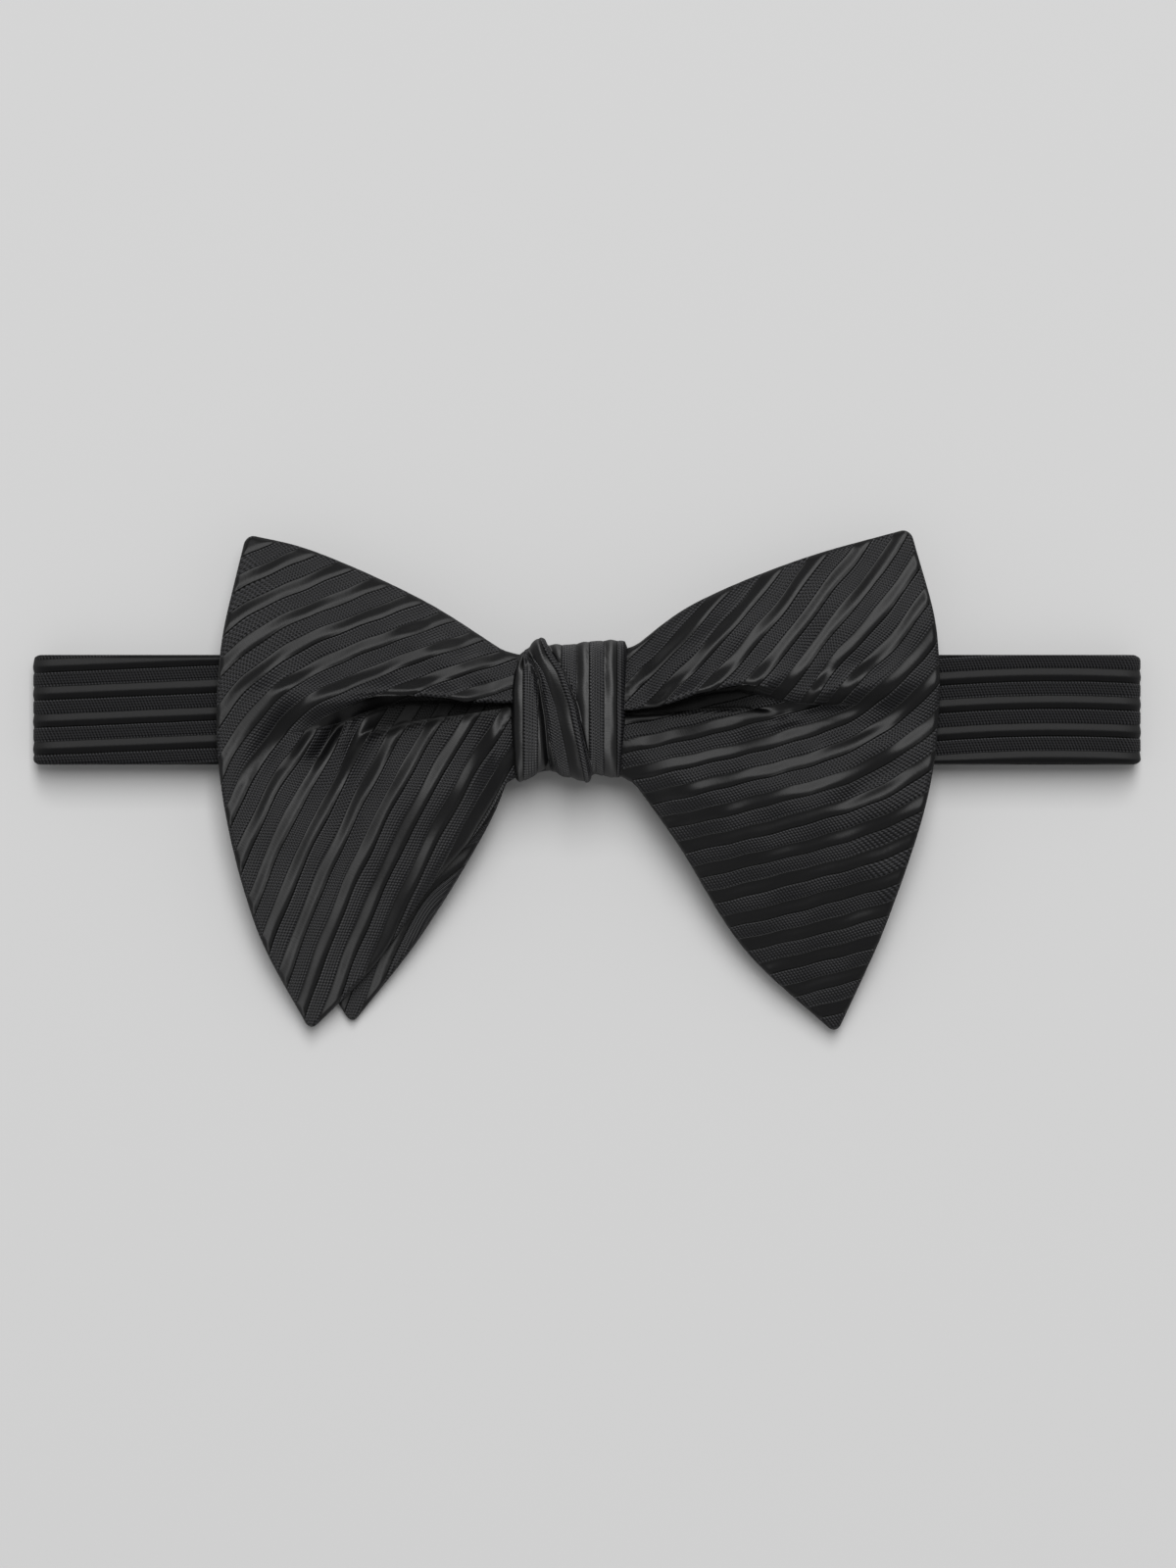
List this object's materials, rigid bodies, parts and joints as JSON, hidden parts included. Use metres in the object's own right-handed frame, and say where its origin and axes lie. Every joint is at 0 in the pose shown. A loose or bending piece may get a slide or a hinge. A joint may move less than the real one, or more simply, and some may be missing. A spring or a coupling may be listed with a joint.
{
  "type": "bow tie",
  "caption": "Pre-tied black striped bow tie with two layered blades, a wrapped knot and an adjustable neckband closed by a hook and eye.",
  "frame": {"origin": "middle of the whole object's plan, on the surface it lies on", "axes": "+X along the neckband to the right of the bow as seen from its face, +Y towards the upper edge of the bow, +Z out of the face, away from the neck"},
  "size_m": [0.2104, 0.0957, 0.018],
  "materials": {
    "blade_cloth": "black tonal stripe, satin bands between fine twill bands, cut on the bias",
    "band_cloth": "the same striped cloth cut along the stripe",
    "interlining": "undyed brushed canvas",
    "thread": "black sewing thread",
    "nickel": "nickel-plated steel stampings"
  },
  "bodies": {
    "bow": {"front_blade_face": "blade_cloth", "front_blade_interlining": "interlining", "front_blade_back": "blade_cloth", "rear_blade_face": "blade_cloth", "rear_blade_interlining": "interlining", "rear_blade_back": "blade_cloth", "knot_wrap": "blade_cloth", "knot_padding": "interlining", "knot_seam_thread": "thread", "waist_thread": "thread", "left_upper_strap": "band_cloth", "left_upper_strap_interlining": "interlining", "right_upper_strap": "band_cloth", "right_upper_strap_interlining": "interlining", "left_fold": "band_cloth", "left_fold_interlining": "interlining", "right_fold": "band_cloth", "right_fold_interlining": "interlining"},
    "left_leg": {"left_strap": "band_cloth", "left_strap_interlining": "interlining", "return_strap": "band_cloth", "return_strap_interlining": "interlining"},
    "slider": {"slider_frame": "nickel", "slider_strap_end": "band_cloth", "slider_bar_tack": "thread"},
    "hook": {"hook": "nickel"},
    "right_leg": {"right_strap": "band_cloth", "right_strap_interlining": "interlining", "right_bar_tack": "thread"},
    "eye": {"eye": "nickel"}
  },
  "joints": [
    {"name": "left_band_fold", "type": "hinge", "parent": "bow", "child": "left_leg", "pos_m": [-0.1064, 0.0135, 0.0043], "axis": [0, 1, 0], "range_deg": [0, 178], "deforming": ["left_fold", "left_fold_interlining"]},
    {"name": "right_band_fold", "type": "hinge", "parent": "bow", "child": "right_leg", "pos_m": [0.1064, 0.0135, 0.0043], "axis": [0, -1, 0], "range_deg": [0, 178], "deforming": ["right_fold", "right_fold_interlining"]},
    {"name": "slider_slide", "type": "slide", "parent": "left_leg", "child": "slider", "axis": [1, 0, 0], "range_m": [-0.026, 0.022], "deforming": ["return_strap", "return_strap_interlining"]},
    {"name": "hook_swing", "type": "hinge", "parent": "left_leg", "child": "hook", "pos_m": [0.0107, 0.0135, 0.0035], "axis": [0, 1, 0], "range_deg": [0, 90]},
    {"name": "eye_swing", "type": "hinge", "parent": "right_leg", "child": "eye", "pos_m": [0.0307, 0.0135, 0.0035], "axis": [0, -1, 0], "range_deg": [0, 90]}
  ]
}
